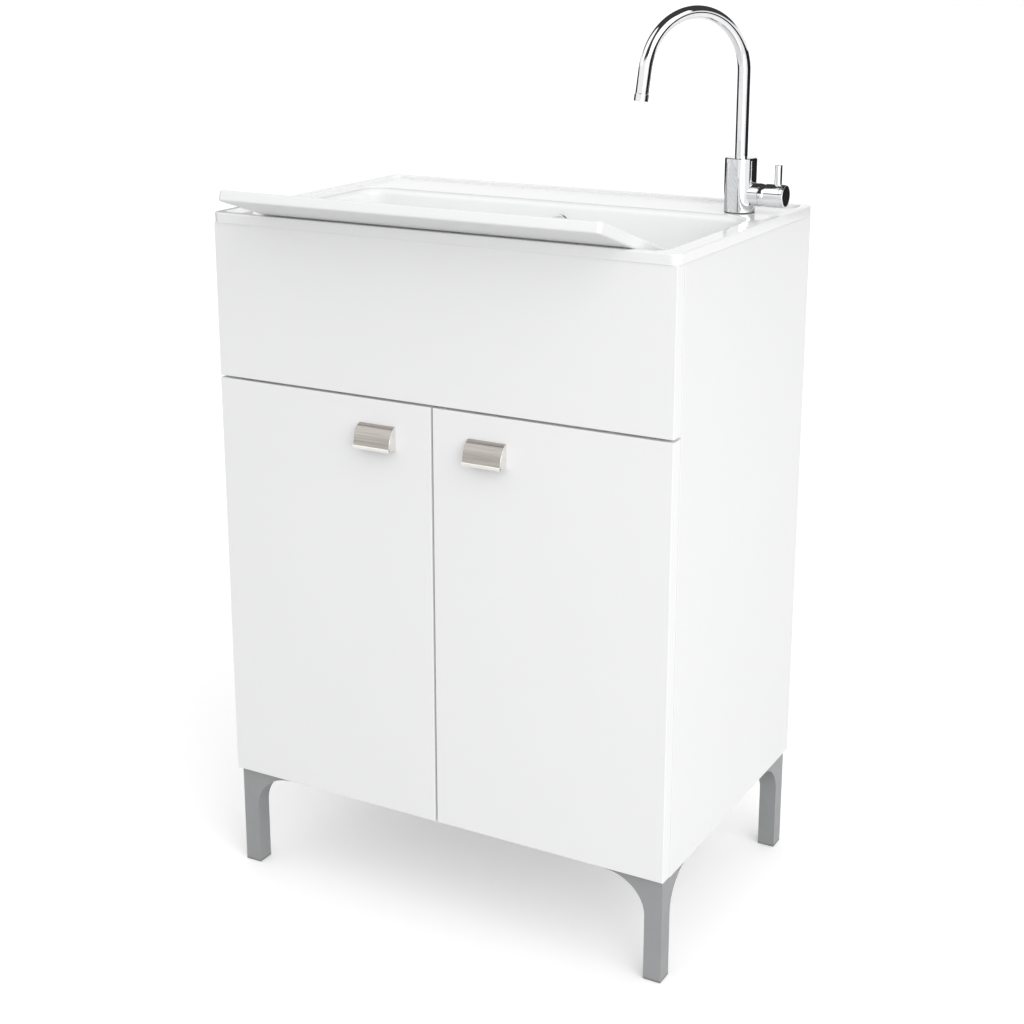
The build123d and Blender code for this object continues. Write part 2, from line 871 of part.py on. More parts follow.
with BuildPart() as pull_screw_set:
    with Locations(*[facing(x, door_back, z, (0, 1, 0)) for x, z in pull_screws]):
        add(screw(panel + pull_screw_grip, pull_screw_radius, pull_screw_head, screw_head_height))
finish_pair(pull_screw_set, "pull_screws")

# Tap: gasket, body, shank, washer and locknut
body_foot = deck_top + tap_gasket
body_head = deck_top + tap_height
valve_z = deck_top + valve_level
valve_end = tap_x + valve_pivot
valve_plane = Plane(origin=(tap_x, tap_y, valve_z), x_dir=(0, 1, 0), z_dir=(1, 0, 0))

with BuildPart() as tap_gasket_ring:
    with BuildSketch(Plane.XY.offset(deck_top)):
        with Locations((tap_x, tap_y)):
            Circle(tap_radius - tap_gasket)
            Circle(shank_radius + loose, mode=Mode.SUBTRACT)
    extrude(amount=tap_gasket)
finish(tap_gasket_ring, "tap_gasket")

with BuildPart() as tap_body:
    with BuildSketch(Plane.XY.offset(body_foot)):
        with Locations((tap_x, tap_y)):
            Circle(tap_radius)
    extrude(amount=body_head - body_foot)
    chamfer(tap_body.edges().filter_by(GeomType.CIRCLE), edge_round)
    with BuildSketch(valve_plane):
        Circle(valve_radius)
    extrude(amount=valve_pivot)
    with BuildSketch(Plane.XY.offset(body_head)):
        with Locations((tap_x, tap_y)):
            Circle(spout_radius + running)
    extrude(amount=-spout_socket, mode=Mode.SUBTRACT)
    with BuildSketch(valve_plane.offset(valve_pivot)):
        Circle(stem_radius + running)
    extrude(amount=-stem_length - loose, mode=Mode.SUBTRACT)
finish(tap_body, "tap_body")

with BuildPart() as tap_shank:
    with BuildSketch(Plane.XY.offset(body_foot)):
        with Locations((tap_x, tap_y)):
            Circle(shank_radius)
    extrude(amount=-shank_length)
    chamfer(tap_shank.faces().sort_by(Axis.Z)[0].edges(), edge_round)
    with BuildSketch(Plane.XY.offset(body_foot - shank_length)):
        with Locations((tap_x, tap_y)):
            with GridLocations(inlet_spacing, 0, 2, 1):
                Circle(inlet_radius)
    extrude(amount=-inlet_length)
    chamfer(tap_shank.faces().group_by(Axis.Z)[0].edges(), edge_round)
finish(tap_shank, "tap_shank")

with BuildPart() as tap_washer:
    with BuildSketch(Plane.XY.offset(rim_base)):
        with Locations((tap_x, tap_y)):
            Circle(locknut_radius)
            Circle(shank_radius + loose, mode=Mode.SUBTRACT)
    extrude(amount=-gasket_height)
finish(tap_washer, "tap_washer")

with BuildPart() as tap_locknut:
    with BuildSketch(Plane.XY.offset(rim_base - gasket_height)):
        with Locations((tap_x, tap_y)):
            RegularPolygon(locknut_radius, 6)
            Circle(shank_radius + running, mode=Mode.SUBTRACT)
    extrude(amount=-locknut_height)
finish(tap_locknut, "tap_locknut")

# Spout: riser, arch and outlet in one upright plane that faces the bowl
heading = radians(spout_heading)
reach_x = -cos(heading)
reach_y = -sin(heading)
spout_plane = Plane(origin=(tap_x, tap_y, 0), x_dir=(reach_x, reach_y, 0), z_dir=(reach_y, -reach_x, 0))
socket_floor = body_head - spout_socket + loose
arch_level = deck_top + arch_height
tip_angle = radians(180 - arch_turn)
tip_start = (arch_radius * (1 + cos(tip_angle)), arch_level + arch_radius * sin(tip_angle))
tip_end = (tip_start[0] + spout_end * sin(tip_angle), tip_start[1] - spout_end * cos(tip_angle))
with BuildPart() as spout:
    with BuildLine(spout_plane):
        Line((0, socket_floor), (0, arch_level))
        CenterArc((arch_radius, arch_level), arch_radius, 180, -arch_turn)
        Line(tip_start, tip_end)
    with BuildSketch(Plane.XY.offset(socket_floor)):
        with Locations((tap_x, tap_y)):
            Circle(spout_radius)
    sweep()
finish(spout, "spout")

tip_point = spout_plane.from_local_coords((tip_end[0], tip_end[1], 0))
tip_axis = (reach_x * sin(tip_angle), reach_y * sin(tip_angle), -cos(tip_angle))
tip_plane = Plane(origin=tip_point, z_dir=tip_axis)
with BuildPart() as aerator:
    with BuildSketch(tip_plane):
        Circle(aerator_radius)
    extrude(amount=aerator_length)
    fillet(aerator.edges().filter_by(GeomType.CIRCLE), edge_round)
    with BuildSketch(tip_plane.offset(aerator_length)):
        Circle(aerator_bore)
    extrude(amount=-aerator_length / 2, mode=Mode.SUBTRACT)
finish(aerator, "aerator")

# Side valve: turning dome, tilting cap and upright lever
dome_plane = Plane(origin=(valve_end, tap_y, valve_z), x_dir=(1, 0, 0), z_dir=(0, -1, 0))
valve_axis = Axis((valve_end, tap_y, valve_z), (1, 0, 0))
dome_start = seat
dome_angle = degrees(acos(dome_start / valve_radius))
dome_height = sqrt(valve_radius**2 - dome_start**2)
with BuildPart() as mixer_dome:
    with BuildSketch(dome_plane):
        with BuildLine():
            Polyline(
                (valve_radius, 0),
                (-stem_length, 0),
                (-stem_length, stem_radius),
                (dome_start, stem_radius),
                (dome_start, dome_height),
            )
            CenterArc((0, 0), valve_radius, 0, dome_angle)
        make_face()
    revolve(axis=valve_axis)
finish(mixer_dome, "mixer_dome")

pocket_radius = valve_radius + seat
pocket_angle = degrees(acos((cap_start - valve_pivot) / pocket_radius))
pocket_edge = sqrt(pocket_radius**2 - (cap_start - valve_pivot) ** 2)
cap_length = cap_end - valve_pivot
groove_start = cap_groove_place - valve_pivot
lever_foot = valve_z + valve_radius
with BuildPart() as mixer_cap:
    with BuildSketch(dome_plane):
        with BuildLine():
            CenterArc((0, 0), pocket_radius, 0, pocket_angle)
            Polyline(
                (cap_start - valve_pivot, pocket_edge),
                (cap_start - valve_pivot, valve_radius),
                (groove_start, valve_radius),
                (groove_start, valve_radius - cap_groove_depth),
                (groove_start + cap_groove_width, valve_radius - cap_groove_depth),
                (groove_start + cap_groove_width, valve_radius),
                (cap_length, valve_radius),
                (cap_length, 0),
                (pocket_radius, 0),
            )
        make_face()
    revolve(axis=valve_axis)
    fillet(mixer_cap.faces().sort_by(Axis.X)[-1].edges(), cap_round)
    with BuildSketch(Plane.XY.offset(lever_foot)):
        with Locations((tap_x + lever_place, tap_y)):
            Circle(lever_radius + running)
    extrude(amount=-lever_seat, mode=Mode.SUBTRACT)
finish(mixer_cap, "mixer_cap")

with BuildPart() as mixer_lever:
    with BuildSketch(Plane.XY.offset(lever_foot - lever_seat)):
        with Locations((tap_x + lever_place, tap_y)):
            Circle(lever_radius)
    extrude(amount=lever_seat + lever_height)
    fillet(mixer_lever.faces().sort_by(Axis.Z)[-1].edges(), edge_round)
finish(mixer_lever, "mixer_lever")

# Overflow: ring in the bowl, elbow behind the wall and pipe to the waste
with BuildPart() as overflow_ring:
    with BuildSketch(overflow_plane):
        Circle(overflow_ring_radius)
    extrude(amount=overflow_ring_height)
    fillet(overflow_ring.faces().sort_by(Axis.Y)[0].edges(), overflow_ring_height * 0.6)
    with BuildSketch(overflow_plane):
        Circle(overflow_radius)
    extrude(amount=-bowl_wall)
    with BuildSketch(overflow_plane.offset(overflow_ring_height)):
        Circle(overflow_radius - outlet_wall)
    extrude(amount=-overflow_ring_height - bowl_wall, mode=Mode.SUBTRACT)
finish(overflow_ring, "overflow_ring")

elbow_start = overflow_plane.from_local_coords((0, 0, -bowl_wall))
stand_y = elbow_start.Y + overflow_stand
corner_drop = overflow_stand * slant
elbow_low = elbow_start.Z - corner_drop - elbow_length
branch_z = floor_base - branch_level
branch_plane = Plane(
    origin=(0, waste_y, branch_z),
    x_dir=(stand_y - waste_y, -overflow_shift, 0),
    z_dir=(overflow_shift, stand_y - waste_y, 0),
)
with BuildPart() as overflow_elbow:
    with BuildSketch(overflow_plane.offset(-bowl_wall)):
        Circle(overflow_radius + elbow_flange)
    extrude(amount=-gasket_height)
    with BuildLine():
        FilletPolyline(
            elbow_start,
            (overflow_shift, stand_y, elbow_start.Z - corner_drop),
            (overflow_shift, stand_y, elbow_low),
            radius=overflow_bend,
        )
    with BuildSketch(overflow_plane.offset(-bowl_wall)):
        Circle(overflow_radius + 1)
    sweep()
finish(overflow_elbow, "overflow_elbow")

with BuildPart() as overflow_pipe:
    with BuildLine():
        FilletPolyline(
            (overflow_shift, stand_y, elbow_low),
            (overflow_shift, stand_y, branch_z),
            branch_plane.from_local_coords((0, 0, branch_reach)),
            radius=overflow_bend,
        )
    with BuildSketch(Plane.XY.offset(elbow_low)):
        with Locations((overflow_shift, stand_y)):
            Circle(overflow_radius)
    sweep()
finish(overflow_pipe, "overflow_pipe")

# Waste: flange, gasket, body and plug
flange_top = floor_top - waste_recess + flange_height
tail_end = floor_base - waste_tail_length
flange_base = floor_top - waste_recess
with BuildPart() as waste_flange:
    add(
        turned(
            0,
            waste_y,
            [
                (waste_bore, tail_end),
                (waste_tail, tail_end),
                (waste_tail, flange_base),
                (waste_flange_radius, flange_base),
                (waste_flange_radius, flange_top - waste_edge / 2),
                (waste_flange_radius - waste_edge, flange_top),
                (waste_bore + waste_lead, flange_top - waste_dish),
                (waste_bore, flange_top - waste_lead_drop),
            ],
        )
    )
    with BuildSketch(Plane.XY.offset(tail_end)):
        with Locations((0, waste_y)):
            Rectangle(2 * waste_tail - 1, grid_bar)
            Rectangle(grid_bar, 2 * waste_tail - 1)
            Circle(3 * grid_bar)
    extrude(amount=grid_bar)
finish(waste_flange, "waste_flange")

with BuildPart() as waste_gasket:
    with BuildSketch(Plane.XY.offset(floor_base)):
        with Locations((0, waste_y)):
            Circle(waste_body_radius + waste_collar)
            Circle(waste_tail + seat, mode=Mode.SUBTRACT)
    extrude(amount=-gasket_height)
finish(waste_gasket, "waste_gasket")

cup_top = floor_base - gasket_height
cup_base = cup_top - waste_body_length
spigot_base = cup_base - spigot_length
with BuildPart() as waste_body:
    add(
        turned(
            0,
            waste_y,
            [
                (waste_tail + seat, cup_top),
                (waste_body_radius + waste_collar, cup_top),
                (waste_body_radius + waste_collar, cup_top - collar_height),
                (waste_body_radius, cup_top - collar_height - collar_slope),
                (waste_body_radius, cup_base + funnel_height),
                (pipe_radius, cup_base),
                (pipe_radius, spigot_base),
                (pipe_radius - pipe_wall, spigot_base),
                (pipe_radius - pipe_wall, cup_base + pipe_wall),
                (waste_tail + seat, cup_base + funnel_wall),
            ],
        )
    )
    with BuildSketch(branch_plane):
        Circle(branch_radius)
    extrude(amount=branch_reach)
    with BuildSketch(Plane.XY.offset(cup_base + funnel_wall)):
        with Locations((0, waste_y)):
            Circle(waste_tail + seat)
    extrude(amount=cup_top - cup_base - funnel_wall, mode=Mode.SUBTRACT)
finish(waste_body, "waste_body")

plug_seat = flange_top - waste_dish + seat
plug_top = plug_seat + plug_lip_thickness + plug_crown
plug_radius = waste_bore - seat
with BuildPart() as drain_plug:
    add(
        turned(
            0,
            waste_y,
            [
                (0, flange_top - plug_depth),
                (plug_radius - plug_taper, flange_top - plug_depth),
                (plug_radius, flange_top - plug_straight),
                (plug_radius, plug_seat),
                (plug_radius + plug_lip, plug_seat),
                (plug_radius + plug_lip, plug_seat + plug_lip_thickness),
                (plug_radius, plug_top),
                (0, plug_top),
            ],
        )
    )
finish(drain_plug, "drain_plug")

knob_head = plug_top + knob_waist_height
knob_top = plug_top + knob_height
with BuildPart() as plug_knob:
    add(
        turned(
            0,
            waste_y,
            [
                (0, plug_top),
                (knob_foot, plug_top),
                (knob_foot, plug_top + knob_foot_height),
                (knob_waist, plug_top + 2 * knob_foot_height),
                (knob_waist, knob_head),
                (knob_foot, (2 * knob_head + knob_top) / 3),
                (knob_radius, (knob_head + 2 * knob_top) / 3),
                (knob_foot, knob_top - edge_round),
                (knob_foot - edge_round, knob_top),
                (0, knob_top),
            ],
        )
    )
finish(plug_knob, "plug_knob")

# Bottle trap and its outlet to the wall
trap_top = spigot_base + nut_overlap
nut_radius = pipe_radius + nut_wall
trap_base = trap_top - trap_height
outlet_z = trap_top - outlet_drop
with BuildPart() as trap_nut:
    with BuildSketch(Plane.XY.offset(trap_top)):
        with Locations((0, waste_y)):
            Circle(nut_radius)
            with PolarLocations(nut_radius, grip_count):
                Circle(nut_grip, mode=Mode.SUBTRACT)
            Circle(pipe_radius + running, mode=Mode.SUBTRACT)
    extrude(amount=nut_height)
finish(trap_nut, "trap_nut")

outlet_axis = Plane(origin=(0, waste_y, outlet_z), x_dir=(1, 0, 0), z_dir=(0, 1, 0))
socket_end = trap_radius + socket_reach
with BuildPart() as trap_body:
    add(
        turned(
            0,
            waste_y,
            [
                (0, trap_base),
                (trap_radius, trap_base),
                (trap_radius, trap_top - trap_shoulder),
                (trap_radius - trap_neck, trap_top),
                (pipe_radius + running, trap_top),
                (pipe_radius + running, spigot_base - seat),
                (0, spigot_base - seat),
            ],
        )
    )
    with BuildSketch(outlet_axis):
        Circle(pipe_radius + socket_wall)
    extrude(amount=socket_end)
    with BuildSketch(outlet_axis.offset(socket_end)):
        Circle(outlet_spigot + running)
    extrude(amount=-socket_depth, mode=Mode.SUBTRACT)
finish(trap_body, "trap_body")

with BuildPart() as trap_cup:
    with BuildSketch(Plane.XY.offset(trap_base)):
        with Locations((0, waste_y)):
            Circle(trap_radius + trap_cup_lip)
    extrude(amount=-trap_cup_height)
    fillet(trap_cup.faces().sort_by(Axis.Z)[0].edges(), trap_cup_round)
    with BuildSketch(Plane.XY.offset(trap_base)):
        with Locations((0, waste_y)):
            with PolarLocations(trap_radius + trap_cup_lip, grip_count):
                Circle(trap_cup_grip)
    extrude(amount=-trap_cup_height / 3)
finish(trap_cup, "trap_cup")

outlet_end = carcass_back - outlet_back
outlet_shoulder = socket_end + seat
with BuildPart() as trap_outlet:
    with BuildSketch(outlet_axis.offset(outlet_shoulder)):
        Circle(outlet_spigot)
    extrude(amount=-socket_depth)
    with BuildSketch(outlet_axis.offset(outlet_shoulder)):
        Circle(pipe_radius)
    extrude(amount=outlet_end - waste_y - outlet_shoulder)
    with BuildSketch(outlet_axis.offset(outlet_end - waste_y)):
        Circle(pipe_radius - outlet_wall)
    extrude(amount=-outlet_bore, mode=Mode.SUBTRACT)
finish(trap_outlet, "trap_outlet")

print("washboard length", round(board_length, 2), "step level", round(step_top, 2))
print("washboard end", round(board_end, 2), "touches the bead at", round(touch_y, 2))
print("hinge pivots", pivot_x, pivot_y, arm_x, arm_y, "levels", hinge_levels)
print("tap", tap_x, tap_y, "valve", valve_end, valve_z, "tip", tip_point, "arch", arch_level)
print("waste", waste_y, "floor", floor_top, "outlet", outlet_z, outlet_end, "rim front", rim_front)
print("outlet pipe's free length", round(outlet_end - waste_y - outlet_shoulder, 2))
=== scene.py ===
import math

import bmesh
import bpy
from mathutils import Matrix, Vector


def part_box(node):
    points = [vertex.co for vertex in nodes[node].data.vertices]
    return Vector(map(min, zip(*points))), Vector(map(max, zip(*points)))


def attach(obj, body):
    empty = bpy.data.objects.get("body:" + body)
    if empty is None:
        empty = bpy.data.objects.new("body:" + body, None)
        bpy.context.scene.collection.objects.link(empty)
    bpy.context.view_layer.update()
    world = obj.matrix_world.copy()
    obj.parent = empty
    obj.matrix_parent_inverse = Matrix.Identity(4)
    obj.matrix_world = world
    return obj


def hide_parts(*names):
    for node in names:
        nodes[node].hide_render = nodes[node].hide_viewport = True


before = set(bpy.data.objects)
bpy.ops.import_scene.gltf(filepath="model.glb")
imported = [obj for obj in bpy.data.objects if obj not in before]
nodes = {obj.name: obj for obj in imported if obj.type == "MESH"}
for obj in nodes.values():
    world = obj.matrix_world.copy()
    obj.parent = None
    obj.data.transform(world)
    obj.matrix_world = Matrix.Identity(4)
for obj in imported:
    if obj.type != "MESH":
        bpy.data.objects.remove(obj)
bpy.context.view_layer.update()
print("frame loaded:", len(nodes), "pieces")

# Helpers for shaders
white = (1, 1, 1, 1)


def newFinish(name, look):
    # a material; the shader's sockets that the look names get their plain values
    finish = bpy.data.materials.new(name)
    finish.use_nodes = True
    shader = finish.node_tree.nodes["Principled BSDF"]
    for socket in shader.inputs:
        if socket.name in look:
            socket.default_value = look[socket.name]
    return finish, finish.node_tree, shader


def joined(tree, outputSocket, inputSocket):
    tree.links.new(outputSocket, inputSocket)


def placed(tree, texture, stretch=(1, 1, 1)):
    # the object's own metres, stretched where the finish has a direction
    place = tree.nodes.new("ShaderNodeTexCoord")
    mapping = tree.nodes.new("ShaderNodeMapping")
    mapping.inputs["Scale"].default_value = stretch
    joined(tree, place.outputs["Object"], mapping.inputs["Vector"])
    joined(tree, mapping.outputs["Vector"], texture.inputs["Vector"])


def grain(tree, scale, detail, stretch=(1, 1, 1), roughness=0.55):
    noise = tree.nodes.new("ShaderNodeTexNoise")
    noise.inputs["Scale"].default_value = scale
    noise.inputs["Detail"].default_value = detail
    noise.inputs["Roughness"].default_value = roughness
    placed(tree, noise, stretch)
    return noise.outputs["Fac"]


def pores(tree, scale):
    cells = tree.nodes.new("ShaderNodeTexVoronoi")
    cells.inputs["Scale"].default_value = scale
    placed(tree, cells)
    return cells.outputs["Distance"]


def spread(tree, source, low, high, start=0.3, end=0.7):
    # maps the middle of a noise to a chosen pair of values
    remap = tree.nodes.new("ShaderNodeMapRange")
    remap.inputs["From Min"].default_value = start
    remap.inputs["From Max"].default_value = end
    remap.inputs["To Min"].default_value = low
    remap.inputs["To Max"].default_value = high
    joined(tree, source, remap.inputs["Value"])
    return remap.outputs["Result"]


def tinted(tree, source, dark, light, start=0.3, end=0.7):
    # maps the middle of a noise to colours from dark to light
    ramp = tree.nodes.new("ShaderNodeValToRGB")
    ramp.color_ramp.elements[0].position = start
    ramp.color_ramp.elements[0].color = (*dark, 1)
    ramp.color_ramp.elements[1].position = end
    ramp.color_ramp.elements[1].color = (*light, 1)
    joined(tree, source, ramp.inputs["Fac"])
    return ramp.outputs["Color"]


def raised(tree, shader, source, height, under=None):
    # bump in real metres; bumps stack through their Normal input
    bump = tree.nodes.new("ShaderNodeBump")
    bump.inputs["Strength"].default_value = 1.0
    bump.inputs["Distance"].default_value = height
    joined(tree, source, bump.inputs["Height"])
    if under:
        joined(tree, under.outputs["Normal"], bump.inputs["Normal"])
    joined(tree, bump.outputs["Normal"], shader.inputs["Normal"])
    return bump


def grainyFinish(name, look):
    # tint, gloss and relief follow noises of their own: scale, detail and perhaps stretch
    finish, tree, shader = newFinish(name, look)
    tint = tinted(tree, grain(tree, *look["tintGrain"]), look["shade"], look["light"])
    joined(tree, tint, shader.inputs["Base Color"])
    gloss = spread(tree, grain(tree, *look["glossGrain"]), *look["roughness"])
    joined(tree, gloss, shader.inputs["Roughness"])
    if "poreScale" in look:
        relief = pores(tree, look["poreScale"])
    else:
        relief = grain(tree, *look["reliefGrain"])
    bump = raised(tree, shader, relief, look["reliefHeight"])
    if "scratchGrain" in look:
        raised(tree, shader, grain(tree, *look["scratchGrain"]), look["scratchHeight"], bump)
    return finish


def dress(finish, *names):
    for name in names:
        piece = nodes[name]
        piece.data.materials.clear()
        piece.data.materials.append(finish)


def bothSides(*names):
    return [f"{name}_{side}" for name in names for side in ("left", "right")]


def newObject(name, data):
    made = bpy.data.objects.new(name, data)
    bpy.context.scene.collection.objects.link(made)
    return made


# Basin and washboard
basin = {
    "light": (0.925, 0.928, 0.93),
    "shade": (0.915, 0.918, 0.922),
    "roughness": (0.11, 0.15),
    "IOR": 1.49,
    "Coat Weight": 0.4,
    "Coat Roughness": 0.06,
    "tintGrain": (3.5, 3),
    "glossGrain": (40, 4),
    "reliefGrain": (14, 2),  # slow waves of the formed sheet
    "reliefHeight": 0.00002,
    "scratchGrain": (700, 2, (1, 0.06, 0.3)),  # wiping marks
    "scratchHeight": 0.0000005,
}
washboard = {
    "light": (0.905, 0.908, 0.912),
    "shade": (0.895, 0.898, 0.902),
    "roughness": (0.30, 0.34),
    "IOR": 1.49,
    "tintGrain": (6, 3),
    "glossGrain": (25, 3),
    "reliefGrain": (110, 2),
    "reliefHeight": 0.000004,
}

dress(grainyFinish("basinAcrylic", basin), "basin")
dress(grainyFinish("washboardPlastic", washboard), "washboard")
print("basin and washboard finished")

# Cabinet boards, doors and fascia
lacquer = {
    "light": (0.93, 0.932, 0.935),
    "shade": (0.92, 0.922, 0.925),
    "roughness": (0.29, 0.33),
    "IOR": 1.5,
    "Coat Weight": 0.3,
    "Coat Roughness": 0.12,
    "tintGrain": (4, 3),
    "glossGrain": (12, 3),
    "reliefGrain": (75, 2),  # peel of the sprayed lacquer
    "reliefHeight": 0.000005,
}
melamine = {
    "light": (0.905, 0.907, 0.91),
    "shade": (0.895, 0.897, 0.90),
    "roughness": (0.38, 0.44),
    "IOR": 1.5,
    "tintGrain": (5, 3),
    "glossGrain": (80, 4),
    "poreScale": 1500,
    "reliefHeight": 0.00002,
}
boards = ["bottom_panel", "front_rail", "back_rail_top", "back_rail_bottom"]

dress(grainyFinish("doorLacquer", lacquer), "fascia_panel", *bothSides("door"))
dress(grainyFinish("melamineBoard", melamine), *boards, *bothSides("side_panel"))
print("cabinet finished")

# Legs and glides
leg = {
    "light": (0.36, 0.365, 0.37),
    "shade": (0.32, 0.325, 0.33),
    "roughness": (0.42, 0.56),
    "IOR": 1.5,
    "tintGrain": (12, 4),
    "glossGrain": (120, 4),
    "reliefGrain": (1800, 2),
    "reliefHeight": 0.00003,
}
rubber = {  # what all rubber pieces share
    "IOR": 1.5,
    "tintGrain": (90, 4),
    "glossGrain": (200, 4),
    "reliefGrain": (2500, 2),
    "reliefHeight": 0.00003,
}
glide = {
    **rubber,
    "light": (0.27, 0.275, 0.28),
    "shade": (0.23, 0.235, 0.24),
    "roughness": (0.6, 0.8),
}

dress(grainyFinish("legPlastic", leg), *bothSides("leg_front", "leg_rear"))
dress(grainyFinish("glideRubber", glide), *bothSides("foot_glide_front", "foot_glide_rear"))
print("legs finished")


# Cup pulls
def metalGrain(scale):
    # what cast and turned metal pieces share: gloss and relief finer than the tint
    return {
        "Metallic": 1.0,
        "tintGrain": (scale, 4),
        "glossGrain": (scale * 3, 4),
        "reliefGrain": (scale * 12, 2),
        "reliefHeight": 0.00001,
    }


brushing = (900, 3, (0.02, 1, 1))
pull = {
    "light": (0.52, 0.485, 0.45),
    "shade": (0.38, 0.355, 0.33),
    "roughness": (0.16, 0.26),
    "Metallic": 1.0,
    "tintGrain": brushing,
    "glossGrain": brushing,
    "reliefGrain": brushing,
    "reliefHeight": 0.00001,
}
bead = {
    **metalGrain(80),
    "light": (0.86, 0.84, 0.81),
    "shade": (0.78, 0.76, 0.73),
    "roughness": (0.06, 0.12),
}
pullShape = {  # metres; the curved wall, the bead along its lower edge and the screw bosses
    "proud": 0.015,
    "wall": 0.002,
    "beadHeight": 0.005,
    "beadDepth": 0.004,
    "beadRound": 0.0018,
    "edgeRound": 0.0005,
    "edgeSteps": 3,
    "edgeAngle": 40,  # degrees; flatter edges stay as they are
    "curveSteps": 24,
    "cornerSteps": 5,
    "bossRadius": 0.0035,
    "bossLength": 0.0075,
    "bossDrop": 0.009,
    "bossSpacing": 0.030,
    "bossRound": 0.00025,
    "bossSides": 32,
}
quarterTurn = math.radians(90)


def pullCorners(side):
    return [Vector(corner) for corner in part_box(f"cup_pull_{side}")]


def meshPiece(name, grid, finish):
    mesh = bpy.data.meshes.new(name)
    bmesh.ops.recalc_face_normals(grid, faces=grid.faces)
    grid.to_mesh(mesh)
    grid.free()
    mesh.materials.append(finish)
    mesh.shade_smooth()
    piece = newObject(name, mesh)
    return piece


def rounded(piece, width):
    bevel = piece.modifiers.new("softEdge", "BEVEL")
    bevel.width = width
    bevel.segments = pullShape["edgeSteps"]
    bevel.limit_method = "ANGLE"
    bevel.angle_limit = math.radians(pullShape["edgeAngle"])
    bevel.harden_normals = True


def pullSkin(side, finish, endFinish):
    # curved front wall and both ends, open below and behind, thickened inwards
    low, high = pullCorners(side)
    proud, tall = pullShape["proud"], high.z - low.z
    steps = pullShape["curveSteps"]
    turns = [quarterTurn * step / steps for step in range(steps + 1)]
    curve = [(high.y - proud * math.sin(turn), low.z + tall * math.cos(turn)) for turn in turns]
    grid = bmesh.new()
    rows = [[grid.verts.new((x, y, z)) for y, z in curve] for x in (low.x, high.x)]
    for step in range(steps):
        grid.faces.new((rows[0][step], rows[0][step + 1], rows[1][step + 1], rows[1][step]))
    for x, row in zip((low.x, high.x), rows):
        end = grid.faces.new([*row, grid.verts.new((x, high.y, low.z))])
        end.material_index = 1
    piece = meshPiece(f"pullSkin_{side}", grid, finish)
    piece.data.materials.append(endFinish)
    wall = piece.modifiers.new("wall", "SOLIDIFY")
    wall.thickness = pullShape["wall"]
    wall.offset = -1
    wall.use_even_offset = True
    rounded(piece, pullShape["edgeRound"])
    return piece


def pullBead(side, finish):
    # rounded bar along the lower front edge
    low, high = pullCorners(side)
    radius, steps = pullShape["beadRound"], pullShape["cornerSteps"]
    outline = []
    for corner, (atY, atZ) in enumerate(((1, 1), (0, 1), (0, 0), (1, 0))):
        centreY = low.y + radius + atY * (pullShape["beadDepth"] - 2 * radius)
        centreZ = low.z + radius + atZ * (pullShape["beadHeight"] - 2 * radius)
        for step in range(steps + 1):
            turn = quarterTurn * (corner + step / steps)
            outline.append((centreY + radius * math.cos(turn), centreZ + radius * math.sin(turn)))
    grid = bmesh.new()
    rows = [[grid.verts.new((x, y, z)) for y, z in outline] for x in (low.x, high.x)]
    for row in rows:
        grid.faces.new(row)
    for here in range(len(outline)):
        after = (here + 1) % len(outline)
        grid.faces.new((rows[0][here], rows[0][after], rows[1][after], rows[1][here]))
    piece = meshPiece(f"pullBead_{side}", grid, finish)
    rounded(piece, pullShape["edgeRound"])
    return piece


def pullBosses(side, finish):
    # two posts that the screws go into, ending inside the curved wall
    low, high = pullCorners(side)
    length = pullShape["bossLength"]
    grid = bmesh.new()
    for end in (-1, 1):
        x = (low.x + high.x) / 2 + end * pullShape["bossSpacing"] / 2
        middle = (x, high.y - length / 2, high.z - pullShape["bossDrop"])
        bmesh.ops.create_cone(
            grid,
            cap_ends=True,
            segments=pullShape["bossSides"],
            radius1=pullShape["bossRadius"],
            radius2=pullShape["bossRadius"],
            depth=length,
            matrix=Matrix.Translation(middle) @ Matrix.Rotation(quarterTurn, 4, "X"),
        )
    piece = meshPiece(f"pullBosses_{side}", grid, finish)
    rounded(piece, pullShape["bossRound"])
    return piece


brushedNickel = grainyFinish("satinNickel", pull)
polishedNickel = grainyFinish("polishedNickel", bead)
for side in ("left", "right"):
    pullPieces = [
        pullSkin(side, brushedNickel, polishedNickel),
        pullBead(side, polishedNickel),
        pullBosses(side, brushedNickel),
    ]
    for piece in pullPieces:
        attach(piece, f"door_{side}")
        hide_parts(f"cup_pull_{side}")
print("pulls finished")

# Tap, ring, flange and knob
chrome = {
    "light": (0.86, 0.865, 0.875),
    "shade": (0.82, 0.825, 0.84),
    "roughness": (0.02, 0.05),
    "Metallic": 1.0,
    "tintGrain": (25, 3),
    "glossGrain": (160, 5),
    "reliefGrain": (60, 2),
    "reliefHeight": 0.000003,
}
tapPieces = ["tap_body", "spout", "aerator", "mixer_dome", "mixer_cap", "mixer_lever"]
drainPieces = ["overflow_ring", "waste_flange", "plug_knob"]

dress(grainyFinish("chromePlate", chrome), *tapPieces, *drainPieces)
print("tap finished")

